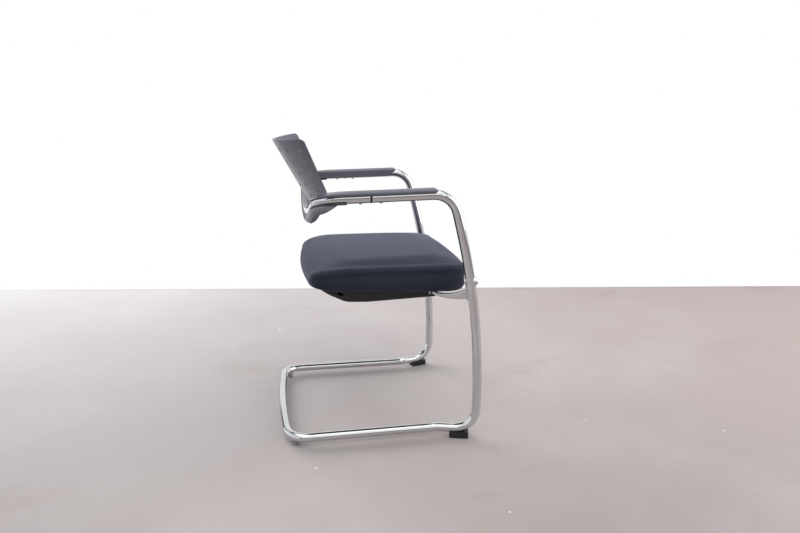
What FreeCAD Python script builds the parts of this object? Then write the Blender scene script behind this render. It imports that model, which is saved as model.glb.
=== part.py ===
"""Cantilever visitor chair: one bent chrome tube as arms, legs and floor loop, a second tube bow that
carries the perforated plastic back, plastic arm pads, and an upholstered seat hung between the legs.

Millimetres, +Z up. The chair stands on Z = 0 and faces -Y, with the origin on the floor under the
middle of its outline. Right and left are the sitter's: the right side is -X.
"""
import FreeCAD, Part
import math
import os

import Sketcher

Vector = FreeCAD.Vector
Rotation = FreeCAD.Rotation
Placement = FreeCAD.Placement

# Driving sizes: name, value in millimetres or degrees, meaning
SIZES = [
    ("depth", 540, "front face of the legs to rear face of the floor loop"),
    ("tube_od", 25, "outer diameter of both bent tubes"),
    ("tube_wall", 2, "wall of both bent tubes"),
    ("fit_gap", 0.15, "clearance between a tube and what sits round it"),
    ("arm_half", 272.5, "middle plane to the axis of an arm tube"),
    ("arm_rise", 668.7, "height of the arm tube's axis above the origin"),
    ("arm_slope", 2.03, "degrees that the arms rise towards the front"),
    ("leg_half", 262, "middle plane to the axis of a leg at the floor"),
    ("leg_lean", 15.43, "degrees that the top of a leg leans back"),
    ("leg_knee", 341, "height where the two straight ends of a leg would cross"),
    ("leg_bow", 1872, "radius of the long bow of a leg"),
    ("arm_bend", 62, "radius of the bend from arm to leg"),
    ("toe_bend", 60, "radius of the bend from leg to floor"),
    ("rail_half", 234, "middle plane to the axis of a floor rail"),
    ("rail_rise", 23.5, "height of the floor rails' axis"),
    ("toe_run", 100.6, "distance along Y from the leg to the kink of its floor rail"),
    ("kink_bend", 80, "radius of the kink where a rail turns outwards"),
    ("heel_bend", 55, "radius of the rear floor corners"),
    ("loop_bow", 11, "how far the rear floor bar bows backwards"),
    ("joint_y", 39, "place along Y of the joint in the arms"),
    ("ring_width", 5, "width of the black ring in the joint"),
    ("ring_proud", 0.4, "how far the ring stands above the tubes"),
    ("spigot_reach", 45, "how far the joint pin reaches into each tube"),
    ("bow_y", 166, "place along Y where an arm would meet the rear bow"),
    ("bow_bend", 60, "radius of the bend from arm to rear bow"),
    ("bow_sag", 19.1, "degrees that the rear bow falls towards its middle"),
    ("bow_back", 10, "how far the rear bow's corner stands behind its arms"),
    ("bow_radius", 520, "radius of the rear bow's middle"),
    ("shell_top", 800, "height of the back's upper corners"),
    ("shell_dip", 11, "how much lower the middle of the top rim lies"),
    ("shell_wall", 4.5, "wall of the plastic back"),
    ("shell_low", 600, "height of the lowest guiding section of the back"),
    ("shell_top_half", 198, "half width of the back at the top"),
    ("shell_low_half", 231, "half width of the back at the lowest section"),
    ("shell_top_mid", 272.5, "rear face of the back's middle along Y at the top"),
    ("shell_low_mid", 158.5, "rear face of the back's middle along Y at the lowest section"),
    ("shell_top_edge", 192.5, "front edge of the back's wings along Y at the top"),
    ("shell_low_edge", 107, "front edge of the back's wings along Y at the lowest section"),
    ("wing_round", 20, "radius of the upper front corners of the back"),
    ("hole_d", 10, "diameter of the holes in the back"),
    ("hole_rows", 5, "number of rows of holes"),
    ("hole_columns", 7, "number of columns of holes"),
    ("hole_pitch", 63, "distance round the curve between columns of holes"),
    ("hole_step", 30.9, "rise between the rows of holes at the middle"),
    ("hole_top", 35, "back's upper corners down to the first row of holes at the middle"),
    ("hole_sag", 5.2, "how much the first row of holes sags towards the middle"),
    ("hole_sag_step", 6.2, "extra sag of each row below the first"),
    ("cap_wall", 3.3, "wall of the rolled edges that grip the rear bow"),
    ("cap_drop", 9, "height of the upper rolled edge's rim above the tube's axis"),
    ("keel_half", 11, "half width of the lower cover at its rims"),
    ("keel_depth", 31, "depth of the lower cover below the tube's axis"),
    ("keel_wall", 3, "wall of the lower cover"),
    ("cap_front_y", 128, "place along Y where the rolled edge ends on each side"),
    ("keel_front_y", 118, "place along Y where the lower cover ends on each side"),
    ("pad_front_y", -123.5, "front end of the arm pads along Y"),
    ("pad_length", 289, "length of the arm pads"),
    ("pad_crown", 17.2, "top of the arm pads above the tube's axis"),
    ("pad_nose", 6.5, "radius of the pad's rounded front end"),
    ("pad_tail", 96, "length of the pad's falling rear end"),
    ("pad_outer", 18, "reach of an arm pad outwards from the tube's axis"),
    ("pad_inner", 24, "reach of an arm pad inwards from the tube's axis"),
    ("pad_lip", 7.5, "height of the pad's outer underside above the tube's axis"),
    ("pad_skirt", 8, "depth of the pad's inner skirt below the tube's axis"),
    ("pad_round", 4.5, "radius of the pad's upper edges"),
    ("pad_screw_pitch", 50, "distance between the two screws of a pad"),
    ("pad_bite", 3.2, "depth of the screws in an arm pad above the tube"),
    ("screw_d", 4, "shank diameter of the small screws"),
    ("screw_head", 8, "head diameter of the small screws"),
    ("screw_head_high", 2.5, "head height of the small screws"),
    ("seat_rise", 422.5, "height of the seat's underside above the origin"),
    ("seat_tilt", 2.08, "degrees that the seat's underside rises towards the rear"),
    ("seat_half", 236, "half width of the cushion at its widest"),
    ("seat_front", 240, "front of the cushion ahead of the origin"),
    ("seat_rear", 198, "rear of the cushion behind the origin"),
    ("seat_front_round", 54, "radius in plan of the cushion's front corners"),
    ("seat_rear_round", 66, "radius in plan of the cushion's rear corners"),
    ("seat_side_bow", 5, "how far the cushion's sides bow outwards"),
    ("board_half", 202, "half width of the seat board"),
    ("board_front", 206, "front of the seat board ahead of the origin"),
    ("board_rear", 175, "rear of the seat board behind the origin"),
    ("board_rear_bow", 9, "how far the seat board's rear edge bows backwards"),
    ("board_front_round", 34, "radius of the seat board's front corners"),
    ("board_rear_round", 48, "radius of the seat board's rear corners"),
    ("board_thick", 10, "thickness of the seat board"),
    ("soft_gap", 0.3, "clearance between the cushion and the board"),
    ("pan_inset", 7, "edge of the seat board to the seat's lower cover"),
    ("pan_front", 152, "front of the lower cover ahead of the origin"),
    ("pan_rear", 168, "rear of the lower cover behind the origin"),
    ("pan_wall", 3, "wall of the lower cover"),
    ("pan_deep", 43.5, "greatest depth of the lower cover"),
    ("pan_front_deep", 29, "depth of the lower cover at its front"),
    ("pan_round", 6, "radius of the lower cover's bottom edges"),
    ("post_d", 12, "diameter of the lower cover's screw posts"),
    ("post_x", 165, "middle plane to a screw post"),
    ("post_front_y", -80, "front screw posts along Y"),
    ("post_rear_y", 120, "rear screw posts along Y"),
    ("cross_d", 18, "diameter of the cross tube under the seat"),
    ("cross_y", -135, "cross tube along Y"),
    ("cross_half", 186, "half length of the cross tube"),
    ("rail_x", 110, "middle plane to a seat rail"),
    ("rail_wide", 28, "width of a seat rail"),
    ("rail_thick", 6, "thickness of a seat rail"),
    ("rail_rear_y", 140, "rear end of a seat rail"),
    ("bolt_d", 6, "shank diameter of the seat bolts"),
    ("bolt_head", 11, "head diameter of the seat bolts"),
    ("bolt_head_high", 4, "head height of the seat bolts"),
    ("bolt_front_y", -85, "front seat bolts along Y"),
    ("bolt_rear_y", 115, "rear seat bolts along Y"),
    ("saddle_wall", 4, "wall of the bracket's saddle on the leg"),
    ("saddle_low", 397, "lower end of the bracket's saddle"),
    ("saddle_high", 464, "upper end of the bracket's saddle"),
    ("leg_bolt_rise", 449, "height of the bolt through a leg"),
    ("leg_bolt_d", 8, "shank diameter of the bolt through a leg"),
    ("leg_bolt_head", 18, "head diameter of the bolt through a leg"),
    ("washer_d", 23, "diameter of the saddle washer on a leg"),
    ("glide_length", 52, "length of a front glide"),
    ("glide_width", 28, "width of a front glide"),
    ("glide_high", 17, "height of a front glide"),
    ("glide_y", -214.5, "middle of a front glide along Y"),
    ("heel_stud_d", 18, "diameter of a rear glide"),
    ("heel_stud_high", 14, "height of a rear glide"),
]

doc = FreeCAD.newDocument("cantilever_chair")


# Sizes and small helpers

class Size:
    """A number that remembers the sheet formula it came from."""

    def __init__(self, value, text=None):
        self.value = float(value)
        self.text = text or f"({self.value!r})"

    def __float__(self):
        return self.value

    def __add__(self, other):
        other = as_size(other)
        return Size(self.value + other.value, f"({self.text} + {other.text})")

    def __radd__(self, other):
        return as_size(other) + self

    def __sub__(self, other):
        other = as_size(other)
        return Size(self.value - other.value, f"({self.text} - {other.text})")

    def __rsub__(self, other):
        return as_size(other) - self

    def __mul__(self, other):
        other = as_size(other)
        return Size(self.value * other.value, f"({self.text} * {other.text})")

    def __rmul__(self, other):
        return as_size(other) * self

    def __truediv__(self, other):
        other = as_size(other)
        return Size(self.value / other.value, f"({self.text} / {other.text})")

    def __neg__(self):
        return Size(-self.value, f"(-{self.text})")


def as_size(number):
    return number if isinstance(number, Size) else Size(number)


def root(size):
    """Square root that keeps its formula."""
    return Size(math.sqrt(size.value), f"sqrt({size.text})")


class Sheet:
    """The driving sizes as attributes, each tied to its cell."""


def fill_sheet():
    cells = doc.addObject("Spreadsheet::Sheet", "Sizes")
    for row, (name, value, meaning) in enumerate(SIZES, 1):
        cells.set(f"A{row}", name)
        cells.set(f"B{row}", str(value))
        cells.set(f"C{row}", meaning)
        cells.setAlias(f"B{row}", name)
    doc.recompute()
    sheet = Sheet()
    for name, value, meaning in SIZES:
        setattr(sheet, name, Size(cells.get(name), f"Sizes.{name}"))
    return sheet


d = fill_sheet()


def vec(x, y, z):
    return Vector(float(x), float(y), float(z))


def tan(angle):
    return math.tan(math.radians(float(angle)))


def cos(angle):
    return math.cos(math.radians(float(angle)))


def sin(angle):
    return math.sin(math.radians(float(angle)))


def plane_of(body, role):
    return [f for f in body.Origin.OriginFeatures if f.Role == role][0]


def bind(thing, prop, size):
    thing.setExpression(prop, as_size(size).text)


def new_body(label):
    return doc.addObject("PartDesign::Body", label)


def new_sketch(body, name, plane, rise=None):
    """A sketch on one of the body's own origin planes, raised along the plane's normal."""
    sketch = body.newObject("Sketcher::SketchObject", name)
    sketch.AttachmentSupport = [(plane_of(body, plane), "")]
    sketch.MapMode = "FlatFace"
    if rise is not None:
        bind(sketch, "AttachmentOffset.Base.z", rise)
    return sketch


def pin(sketch, item, end, point):
    """Fixes one end of a sketch item to a place given by two sizes."""
    for kind, size in zip(("DistanceX", "DistanceY"), point):
        size = as_size(size)
        row = sketch.addConstraint(Sketcher.Constraint(kind, -1, 1, item, end, size.value))
        sketch.setExpression(f"Constraints[{row}]", size.text)


def draw(sketch, corners):
    """A closed outline. A corner is (across, up); one with a third item, a point, is reached
    from the corner before it by an arc through that point."""
    ends = []
    for i, corner in enumerate(corners):
        start = vec(*corners[i - 1][:2], 0)
        stop = vec(*corner[:2], 0)
        if len(corner) == 2:
            item = sketch.addGeometry(Part.LineSegment(start, stop))
            ends.append((item, 1, 2))
            continue
        middle = vec(*corner[2], 0)
        item = sketch.addGeometry(Part.Arc(start, middle, stop))
        forward = (sketch.getPoint(item, 1) - start).Length < 1e-6
        ends.append((item, 1, 2) if forward else (item, 2, 1))
        dot = sketch.addGeometry(Part.Point(middle), True)
        pin(sketch, dot, 1, corner[2])
        sketch.addConstraint(Sketcher.Constraint("PointOnObject", dot, 1, item))
    for i, (item, start, stop) in enumerate(ends):
        following = ends[(i + 1) % len(ends)]
        sketch.addConstraint(Sketcher.Constraint("Coincident", item, stop, following[0], following[1]))
        pin(sketch, item, stop, corners[i][:2])
    return sketch


def draw_circle(sketch, across, up, diameter):
    item = sketch.addGeometry(Part.Circle(vec(across, up, 0), Vector(0, 0, 1), float(diameter) / 2))
    row = sketch.addConstraint(Sketcher.Constraint("Diameter", item, float(diameter)))
    sketch.setExpression(f"Constraints[{row}]", as_size(diameter).text)
    pin(sketch, item, 3, (across, up))
    return sketch


def pad(body, sketch, length, side="One side", flip=False):
    feature = body.newObject("PartDesign::Pad", sketch.Name + "_pad")
    feature.Profile = sketch
    feature.SideType = side
    feature.Reversed = flip
    bind(feature, "Length", length)
    return feature


def pocket(body, sketch, length=None, side="One side", flip=False):
    feature = body.newObject("PartDesign::Pocket", sketch.Name + "_pocket")
    feature.Profile = sketch
    feature.SideType = side
    feature.Reversed = flip
    if length is None:
        feature.Type = "ThroughAll"
    else:
        bind(feature, "Length", length)
    return feature


def revolve(body, sketch):
    """Turns a profile once round the sketch's upright axis."""
    feature = body.newObject("PartDesign::Revolution", sketch.Name + "_turn")
    feature.Profile = sketch
    feature.ReferenceAxis = (sketch, ["V_Axis"])
    feature.Angle = 360
    return feature


def round_edges(body, base, radius, wanted):
    """Fillets the edges of a feature that the test picks."""
    doc.recompute()
    names = [f"Edge{i}" for i, edge in enumerate(base.Shape.Edges, 1) if wanted(edge)]
    feature = body.newObject("PartDesign::Fillet", base.Name + "_round")
    feature.Base = (base, names)
    bind(feature, "Radius", radius)
    return feature


def solid(label, shape):
    """A piece whose form comes straight from surfaces and sweeps."""
    piece = doc.addObject("Part::Feature", label)
    piece.Shape = shape
    return piece


def cut(label, base, *tools):
    doc.recompute()
    tool = tools[0] if len(tools) == 1 else doc.addObject("Part::MultiFuse", label + "_tools")
    if len(tools) > 1:
        tool.Shapes = list(tools)
    piece = doc.addObject("Part::Cut", label)
    piece.Base = base
    piece.Tool = tool
    return piece


def mirrored(label, source):
    """The same piece on the chair's other side."""
    piece = doc.addObject("Part::Mirroring", label)
    piece.Source = source
    piece.Normal = Vector(1, 0, 0)
    piece.Base = Vector(0, 0, 0)
    return piece


def rod(label, start, along, diameter, length):
    """A plain cylinder from a point along a direction."""
    shape = Part.makeCylinder(float(diameter) / 2, float(length), start, along)
    return solid(label, shape)


# Paths of the two bent tubes

def bend_edges(points, radii):
    """Straight runs between the points, with each inner point rounded by its own radius."""
    edges = []
    last = points[0]
    for before, corner, after, radius in zip(points, points[1:], points[2:], radii):
        back = (before - corner).normalize()
        onward = (after - corner).normalize()
        half = back.getAngle(onward) / 2
        reach = float(radius) / math.tan(half)
        inward = (back + onward).normalize()
        middle = corner + inward * (float(radius) / math.sin(half) - float(radius))
        start = corner + back * reach
        stop = corner + onward * reach
        if (start - last).Length > 1e-3:
            edges.append(Part.LineSegment(last, start).toShape())
        edges.append(Part.Arc(start, middle, stop).toShape())
        last = stop
    edges.append(Part.LineSegment(last, points[-1]).toShape())
    return edges


def other_side(point):
    return Vector(-point.x, point.y, point.z)


def arm_point(y):
    """A point on the axis of the right arm."""
    return vec(-d.arm_half, y, d.arm_rise - float(y) * tan(d.arm_slope))


def leg_line(z):
    """Where the straight upper end of the right leg passes a height."""
    lean = float(d.arm_half - d.leg_half) / float(d.arm_rise)
    y = -float(d.depth - d.tube_od) / 2 + (z - float(d.leg_knee)) * tan(d.leg_lean)
    return vec(-float(d.leg_half) - lean * z, y, z)


def frame_path():
    """Axis of the main tube, from the joint in the right arm round to the joint in the left arm."""
    front = -float(d.depth - d.tube_od) / 2
    rear = float(d.depth - d.tube_od) / 2 - float(d.loop_bow)
    slope = tan(d.arm_slope)
    # the arm and the upper leg meet where both lines have the same height
    knee = leg_line(float(d.leg_knee))
    rise = (float(d.arm_rise) - knee.y * slope + float(d.leg_knee) * slope * tan(d.leg_lean)) \
        / (1 + slope * tan(d.leg_lean))
    shoulder = leg_line(rise)
    shoulder.x = -float(d.arm_half)
    toe = vec(-d.leg_half, front, d.rail_rise)
    kink = vec(-d.rail_half, front + float(d.toe_run), d.rail_rise)
    heel = vec(-d.rail_half, rear, d.rail_rise)
    # the rear bar is one long arc between two tangents that start clear of the corners
    run = float(d.rail_half) - 1.2 * float(d.heel_bend)
    peak = float(d.loop_bow) / (1 - run / (2 * float(d.rail_half)))
    bow = run * float(d.rail_half) / peak
    tail = vec(0, rear + peak, d.rail_rise)
    start = arm_point(float(d.joint_y) - float(d.ring_width) / 2)
    side = [start, shoulder, knee, toe, kink, heel]
    bends = [d.arm_bend, d.leg_bow, d.toe_bend, d.kink_bend, d.heel_bend]
    points = side + [tail] + [other_side(p) for p in reversed(side)]
    return bend_edges(points, bends + [bow] + bends[::-1])


def bow_path(front_y):
    """Axis of the rear bow that carries the back, from one arm round to the other."""
    slope = tan(d.arm_slope)
    corner = vec(-d.arm_half, d.bow_y, float(d.arm_rise) - float(d.bow_y) * slope)
    middle = vec(0, d.bow_y + d.bow_back, corner.z - float(d.arm_half) * tan(d.bow_sag))
    start = arm_point(front_y)
    points = [start, corner, middle, other_side(corner), other_side(start)]
    return bend_edges(points, [d.bow_bend, d.bow_radius, d.bow_bend])


def sweep_round(label, edges, diameter):
    """A round bar along a path."""
    path = solid(label + "_path", Part.Wire(edges))
    first = edges[0]
    start = first.Vertexes[0].Point
    along = first.tangentAt(first.FirstParameter)
    ring = doc.addObject("Part::Circle", label + "_ring")
    ring.Placement = Placement(start, Rotation(Vector(0, 0, 1), along))
    bind(ring, "Radius", as_size(diameter) / 2)
    bar = doc.addObject("Part::Sweep", label)
    bar.Sections = [ring]
    bar.Spine = (path, [f"Edge{i}" for i in range(1, len(edges) + 1)])
    bar.Solid = True
    bar.Frenet = False
    return bar


def sweep_profile(edges, corners):
    """A solid with an upright cross-section along a path. The section's corners are (inwards, up)
    from the path; one with a third item is reached by an arc through that point."""
    first = edges[0]
    start = first.Vertexes[0].Point
    along = first.tangentAt(first.FirstParameter)
    across = Vector(0, 0, 1).cross(along).normalize() * -1
    up = across.cross(along).normalize()
    spots = [start + across * float(c[0]) + up * float(c[1]) for c in corners]
    pieces = []
    for i, corner in enumerate(corners):
        if len(corner) == 2:
            pieces.append(Part.LineSegment(spots[i - 1], spots[i]).toShape())
        else:
            middle = start + across * float(corner[2][0]) + up * float(corner[2][1])
            pieces.append(Part.Arc(spots[i - 1], middle, spots[i]).toShape())
    pipe = Part.BRepOffsetAPI.MakePipeShell(Part.Wire(edges))
    pipe.setBiNormalMode(Vector(0, 0, 1))
    pipe.add(Part.Wire(pieces))
    pipe.build()
    pipe.makeSolid()
    shell = Part.Shell(pipe.shape().Faces)
    if Part.Solid(shell).Volume < 0:
        shell.reverse()
    return Part.Solid(shell)


# Fasteners

def headed_screw(label, head_d, head_high, shank_d, shank_long, dome=False):
    """A screw that points down -Z, with the underside of its head at the origin."""
    body = new_body(label)
    sketch = new_sketch(body, label + "_profile", "XZ_Plane")
    rim = as_size(head_d) / 2
    high = as_size(head_high)
    neck = as_size(shank_d) / 2
    corners = [(0, high), (0, -as_size(shank_long)), (neck, -as_size(shank_long)), (neck, 0), (rim, 0)]
    if dome:
        corners.append((rim, high * 0.3))
        corners.append((rim * 0.3, high, (rim * 0.75, high * 0.8)))
    else:
        corners.append((rim, high * 0.6))
        corners.append((rim * 0.6, high))
    draw(sketch, corners)
    revolve(body, sketch)
    return body


def group(label, master, places):
    """Loose copies of one fastener, kept together as one node."""
    doc.recompute()
    copies = []
    for place in places:
        copy = master.Shape.copy()
        copy.Placement = place
        copies.append(copy)
    return solid(label, Part.Compound(copies))


def facing(point, along):
    """A placement at a point that turns +Z to a direction."""
    return Placement(point, Rotation(Vector(0, 0, 1), along))


# Arms: joint, pads and their screws

arm_turn = Rotation(Vector(1, 0, 0), -float(d.arm_slope))


def arm_place(y):
    return Placement(arm_point(y), arm_turn)


def turned_along_arm(label, profile):
    """A ring or pin round the arm's axis, from a profile of (radius, along)."""
    body = new_body(label)
    sketch = new_sketch(body, label + "_profile", "XZ_Plane")
    draw(sketch, profile)
    revolve(body, sketch)
    body.Placement = Placement(arm_point(d.joint_y), arm_turn * Rotation(Vector(1, 0, 0), -90))
    return body


def joint_ring():
    half = d.ring_width / 2
    bore = d.tube_od / 2 - d.tube_wall
    outer = d.tube_od / 2 + d.ring_proud
    profile = [(bore, -half), (outer, -half), (outer, half), (bore, half)]
    return turned_along_arm("arm_joint_ring_right", profile)


def joint_spigot():
    reach = d.ring_width / 2 + d.spigot_reach
    radius = d.tube_od / 2 - d.tube_wall
    nose = Size(2)
    profile = [(0, -reach), (radius - nose, -reach), (radius, -reach + nose), (radius, reach - nose),
               (radius - nose, reach), (0, reach)]
    return turned_along_arm("arm_joint_spigot_right_blank", profile)


def arm_pad():
    """The pad of the right arm: a crowned bar with a seat for the tube and a skirt on the inner side."""
    body = new_body("arm_pad_right_blank")
    crown = d.pad_crown
    tail = d.pad_length
    seat = d.tube_od / 2 + d.fit_gap
    lip = d.pad_lip
    low = -d.pad_skirt
    shoulder = crown - 2.6
    soft = d.pad_round
    # cross-section, seen from the front with the tube's axis at zero and +X towards the sitter
    across = new_sketch(body, "pad_section", "XZ_Plane")
    draw(across, [
        (-d.pad_outer, shoulder - soft),
        (-d.pad_outer + soft, shoulder, (-d.pad_outer + soft * 0.25, shoulder - soft * 0.32)),
        (d.pad_inner - soft, shoulder, ((d.pad_inner - d.pad_outer) / 2, crown)),
        (d.pad_inner, shoulder - soft, (d.pad_inner - soft * 0.25, shoulder - soft * 0.32)),
        (d.pad_inner, low + 2),
        (d.pad_inner - 2, low, (d.pad_inner - 0.6, low + 0.6)),
        (d.pad_inner - 6, low),
        (seat, 0),
        (-root(seat * seat - lip * lip), lip, (0, seat)),
        (-d.pad_outer, lip),
    ])
    pad(body, across, tail, flip=True)
    nose = d.pad_nose
    quarter = nose * (1 - math.sqrt(0.5))
    # the tail falls on a circle that starts level, so half its run has this drop
    drop = crown - lip - 1.5
    radius = (d.pad_tail * d.pad_tail + drop * drop) / (drop * 2)
    half_drop = radius - root(radius * radius - d.pad_tail * d.pad_tail / 4)
    front = new_sketch(body, "pad_nose", "YZ_Plane")
    draw(front, [
        (-1, crown + 1),
        (-1, low - 1),
        (nose + 22, low - 1),
        (nose, crown - nose * 2),
        (0, crown - nose),
        (nose, crown, (quarter, crown - quarter)),
        (nose, crown + 1),
    ])
    pocket(body, front, d.pad_inner * 3, side="Symmetric")
    rear = new_sketch(body, "pad_tail", "YZ_Plane")
    draw(rear, [
        (tail - d.pad_tail, crown),
        (tail, lip + 1.5, (tail - d.pad_tail / 2, crown - half_drop)),
        (tail, lip - 2.5),
        (tail - 48, low - 1),
        (tail + 1, low - 1),
        (tail + 1, crown + 1),
        (tail - d.pad_tail, crown + 1),
    ])
    pocket(body, rear, d.pad_inner * 3, side="Symmetric")
    body.Placement = arm_place(d.pad_front_y)
    return body


def pad_screw_places():
    places = []
    for sign in (-1, 1):
        y = float(d.joint_y) + sign * float(d.pad_screw_pitch) / 2
        down = arm_turn.multVec(Vector(0, 0, -1))
        places.append((arm_point(y) + down * (float(d.tube_od) / 2), down))
    return places


def build_arms(bow_room, rolled_edge):
    """The pads are cut back where the rear bow and the back's rolled edge run under them."""
    ring = joint_ring()
    spigot_blank = joint_spigot()
    pad_blank = arm_pad()
    reach = d.tube_od + d.pad_bite
    screw = headed_screw("pad_screw_master", d.screw_head, d.screw_head_high, d.screw_d, reach, dome=True)
    holes = [rod(f"pad_hole_{i}", at, down * -1, d.screw_d, reach)
             for i, (at, down) in enumerate(pad_screw_places())]
    spigot = cut("arm_joint_spigot_right", spigot_blank, *holes)
    pad_right = cut("arm_pad_right", pad_blank, ring, bow_room, rolled_edge, *holes)
    places = [facing(at, down) for at, down in pad_screw_places()]
    right_screws = group("arm_pad_screws_right", screw, places)
    return {
        "arm_joint_ring_right": ring,
        "arm_joint_ring_left": mirrored("arm_joint_ring_left", ring),
        "arm_joint_spigot_right": spigot,
        "arm_joint_spigot_left": mirrored("arm_joint_spigot_left", spigot),
        "arm_pad_right": pad_right,
        "arm_pad_left": mirrored("arm_pad_left", pad_right),
        "arm_pad_screws_right": right_screws,
        "arm_pad_screws_left": mirrored("arm_pad_screws_left", right_screws),
    }, holes


# Back: shell, lower cover and their screws

def back_form(label, inset=None):
    """Solid between the chord of the wings and the curved back. With an inset it is the room inside
    the wall: its curve has the same centre and its flat side stands clear in front of the wings."""
    form = new_body(label)
    sketches = []
    high = d.shell_top + 20
    for level in (0, 1):
        z = d.shell_low + (high - d.shell_low) * level
        rise = (z - d.shell_low) / (d.shell_top - d.shell_low)
        half = d.shell_low_half + (d.shell_top_half - d.shell_low_half) * rise
        middle = d.shell_low_mid + (d.shell_top_mid - d.shell_low_mid) * rise
        edge = d.shell_low_edge + (d.shell_top_edge - d.shell_low_edge) * rise
        sketch = new_sketch(form, f"{label}_{level}", "XY_Plane", rise=z)
        if inset is None:
            draw(sketch, [(half, edge), (-half, edge, (0, middle))])
        else:
            deep = middle - edge
            radius = (half * half + deep * deep) / (deep * 2)
            inner = radius - inset
            short = radius - deep
            reach = root(inner * inner - short * short)
            chord = edge - inset * 4
            draw(sketch, [(reach, chord), (reach, edge), (-reach, edge, (0, middle - inset)), (-reach, chord)])
        sketches.append(sketch)
    loft = form.newObject("PartDesign::AdditiveLoft", label + "_loft")
    loft.Profile = sketches[0]
    loft.Sections = sketches[1:]
    loft.Ruled = True
    return form


def shell_radius(rise):
    """Radius in plan of the back's curve at a share of its height."""
    half = float(d.shell_low_half) + float(d.shell_top_half - d.shell_low_half) * rise
    deep = float(d.shell_low_mid - d.shell_low_edge) \
        + float(d.shell_top_mid - d.shell_low_mid - d.shell_top_edge + d.shell_low_edge) * rise
    return (half * half + deep * deep) / (2 * deep)


def hole_rods():
    """Cylinders square to the back for its holes. The rows sag more the lower they lie."""
    rods = []
    half_count = float(d.hole_columns - 1) / 2
    for row in range(int(float(d.hole_rows))):
        sag = float(d.hole_sag + d.hole_sag_step * row)
        for column in range(int(float(d.hole_columns))):
            place = column - half_count
            z = float(d.shell_top - d.hole_top - d.hole_step * row) + sag * (place / half_count) ** 2
            rise = (z - float(d.shell_low)) / float(d.shell_top - d.shell_low)
            radius = shell_radius(rise)
            middle = float(d.shell_low_mid) + float(d.shell_top_mid - d.shell_low_mid) * rise
            angle = place * float(d.hole_pitch) / radius
            outward = Vector(math.sin(angle), math.cos(angle), 0)
            centre = Vector(0, middle - radius, z)
            lean = float(d.shell_top_mid - d.shell_low_mid) / float(d.shell_top - d.shell_low)
            aim = (outward + Vector(0, 0, -0.8 * lean)).normalize()
            start = centre + outward * (radius - float(d.shell_wall) / 2) - aim * 12
            rods.append(Part.makeCylinder(float(d.hole_d) / 2, 24, start, aim))
    return solid("back_holes", Part.Compound(rods))


def front_cutter(label, points, low, high):
    """Everything above or below a line seen from the front, as a deep block to cut away."""
    wall = [Vector(x, 0, z) for x, z in points]
    arc = Part.Arc(*wall).toShape()
    edge_z = high if high is not None else low
    right = Vector(wall[2].x, 0, edge_z)
    left = Vector(wall[0].x, 0, edge_z)
    outline = Part.Wire([
        arc,
        Part.LineSegment(wall[2], right).toShape(),
        Part.LineSegment(right, left).toShape(),
        Part.LineSegment(left, wall[0]).toShape(),
    ])
    return solid(label, Part.Face(outline).extrude(Vector(0, 600, 0)))


def wing_corner_cutter():
    """Rounds the upper front corners of both wings, seen from the side."""
    top = float(d.shell_top) + 2
    lean = float(d.shell_top_edge - d.shell_low_edge) / float(d.shell_top - d.shell_low)
    edge_top = Vector(0, float(d.shell_top_edge) - 1, float(d.shell_top) + 1)
    along_edge = Vector(0, -lean, -1).normalize()
    along_rim = Vector(0, 1, -0.13).normalize()
    half = along_edge.getAngle(along_rim) / 2
    radius = float(d.wing_round)
    reach = radius / math.tan(half)
    start = edge_top + along_edge * reach
    stop = edge_top + along_rim * reach
    inward = (along_edge + along_rim).normalize()
    middle = edge_top + inward * (radius / math.sin(half) - radius)
    outer = [start, start + Vector(0, -20, 0), Vector(0, start.y - 20, top + 20), stop + Vector(0, 0, 30)]
    wire = Part.Wire([
        Part.Arc(start, middle, stop).toShape(),
        Part.LineSegment(stop, outer[3]).toShape(),
        Part.LineSegment(outer[3], outer[2]).toShape(),
        Part.LineSegment(outer[2], outer[1]).toShape(),
        Part.LineSegment(outer[1], start).toShape(),
    ])
    face = Part.Face(wire)
    face.translate(Vector(-300, 0, 0))
    return solid("wing_corner_cutter", face.extrude(Vector(600, 0, 0)))


def straight_end():
    """A place along Y just before the arms begin to bend into the rear bow."""
    return float(d.bow_y) - float(d.bow_bend) - 8


def rolled_cap():
    """The shell's rolled edge: it lies over the rear bow and runs on to the back's wall."""
    seat = float(d.tube_od) / 2 + float(d.fit_gap)
    outer = seat + float(d.cap_wall)
    drop = float(d.cap_drop)
    rim_in = -math.sqrt(seat ** 2 - drop ** 2)
    rim_out = -math.sqrt(outer ** 2 - drop ** 2)
    shelf = outer + 20
    level = outer - float(d.cap_wall)
    corners = [
        (seat, 0),
        (rim_in, drop, (0, seat)),
        (rim_out, drop),
        (0, outer, (-outer * 0.6, outer * 0.8)),
        (shelf, outer),
        (shelf, level),
        (outer, level),
        (outer, 0),
    ]
    return solid("rolled_cap", sweep_profile(bow_path(straight_end()), corners))


def keel_cover():
    """The trough under the rear bow: a full round section with its rims against the tube."""
    half = float(d.keel_half)
    wall = float(d.keel_wall)
    deep = float(d.keel_depth)
    rim = half / 2
    corners = [
        (-half, -rim),
        (half, -rim, (0, -deep)),
        (half - wall, -rim),
        (-half + wall, -rim, (0, -deep + wall)),
    ]
    return solid("keel_cover_blank", sweep_profile(bow_path(straight_end()), corners))


def cap_front_cutter():
    """Ends the rolled edge on both arms with a cut that leans back a little."""
    front = float(d.cap_front_y)
    high = float(d.arm_rise)
    points = [Vector(-300, front - 4, high - 40), Vector(-300, 60, high - 40), Vector(-300, 60, high + 60),
              Vector(-300, front + 6, high + 60)]
    face = Part.Face(Part.makePolygon(points + [points[0]]))
    return solid("cap_front_cutter", face.extrude(Vector(600, 0, 0)))


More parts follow.
